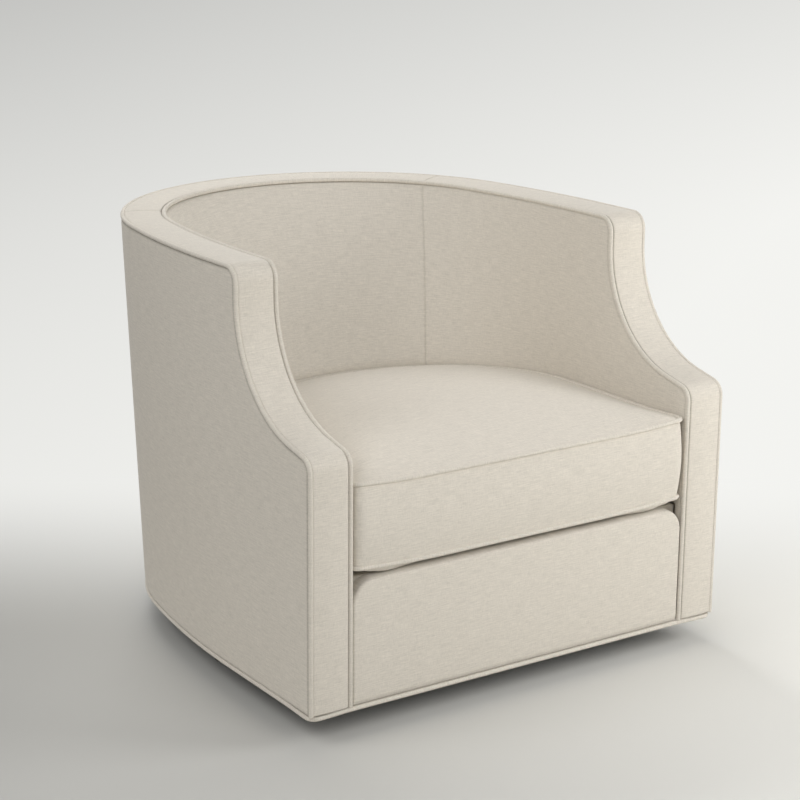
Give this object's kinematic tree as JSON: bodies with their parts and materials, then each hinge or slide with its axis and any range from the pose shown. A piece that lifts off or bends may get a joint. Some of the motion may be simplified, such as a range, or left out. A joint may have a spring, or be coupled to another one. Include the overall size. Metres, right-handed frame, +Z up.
{
  "type": "swivel barrel chair",
  "caption": "Upholstered barrel armchair with scooped arms, a welted border, a loose box cushion and a hidden swivel base.",
  "frame": {"origin": "on the floor under the middle of the chair, on the swivel axis", "axes": "+Z up along the swivel axis, +Y from the seat's front to its back, +X across to the right arm as seen from the front"},
  "size_m": [0.8514, 0.9805, 0.747],
  "materials": {
    "linen": "woven linen",
    "linen_inside": "woven linen",
    "linen_cushion": "woven linen",
    "deck_cloth": "plain weave",
    "dust_cloth": "matt",
    "timber": "unfinished",
    "base_steel": "satin black",
    "dark_steel": "satin",
    "bright_steel": "zinc plated",
    "cage_plastic": "matt",
    "glide_plastic": "matt"
  },
  "bodies": {
    "base": {"base_legs": "base_steel", "base_glides": "glide_plastic", "lower_plate": "dark_steel", "swivel_pin": "dark_steel"},
    "bearing": {"ball_cage": "cage_plastic", "bearing_balls": "bright_steel"},
    "seat": {"upper_plate": "dark_steel", "plate_bolts": "bright_steel", "cross_boards": "timber", "corner_blocks": "timber", "arm_panel_outer_left": "timber", "arm_panel_outer_right": "timber", "arm_panel_inner_left": "timber", "arm_panel_inner_right": "timber", "arm_contour_left": "timber", "arm_contour_right": "timber", "bottom_rail_left": "timber", "bottom_rail_right": "timber", "bottom_rail_back": "timber", "back_board": "timber", "top_rail": "timber", "back_ribs": "timber", "seat_rail_front": "timber", "seat_rail_left": "timber", "seat_rail_right": "timber", "seat_rail_back": "timber", "seat_springs": "dark_steel", "spring_clips": "dark_steel", "deck_pad": "deck_cloth", "dust_cover": "dust_cloth", "front_panel": "linen", "outside_left": "linen", "outside_right": "linen", "outside_back": "linen", "band_left": "linen", "band_right": "linen", "band_back": "linen", "inside_left": "linen_inside", "inside_right": "linen_inside", "inside_back": "linen_inside", "outer_welt": "linen", "inner_welt": "linen", "hem_welt": "linen"},
    "cushion": {"seat_cushion": "linen_cushion", "cushion_welt_upper": "linen", "cushion_welt_lower": "linen"}
  },
  "joints": [
    {"name": "swivel", "type": "hinge", "parent": "base", "child": "seat", "pos_m": [0, 0, 0.0484], "axis": [0, 0, 1], "continuous": true},
    {"name": "bearing_turn", "type": "hinge", "parent": "base", "child": "bearing", "pos_m": [0, 0, 0.0484], "axis": [0, 0, 1], "continuous": true},
    {"name": "cushion_lift", "type": "slide", "parent": "seat", "child": "cushion", "axis": [0, 0, 1], "range_m": [0, 0.35]}
  ],
  "couplings": [
    {"joint": "bearing_turn", "follows": "swivel", "ratio": 0.5}
  ]
}
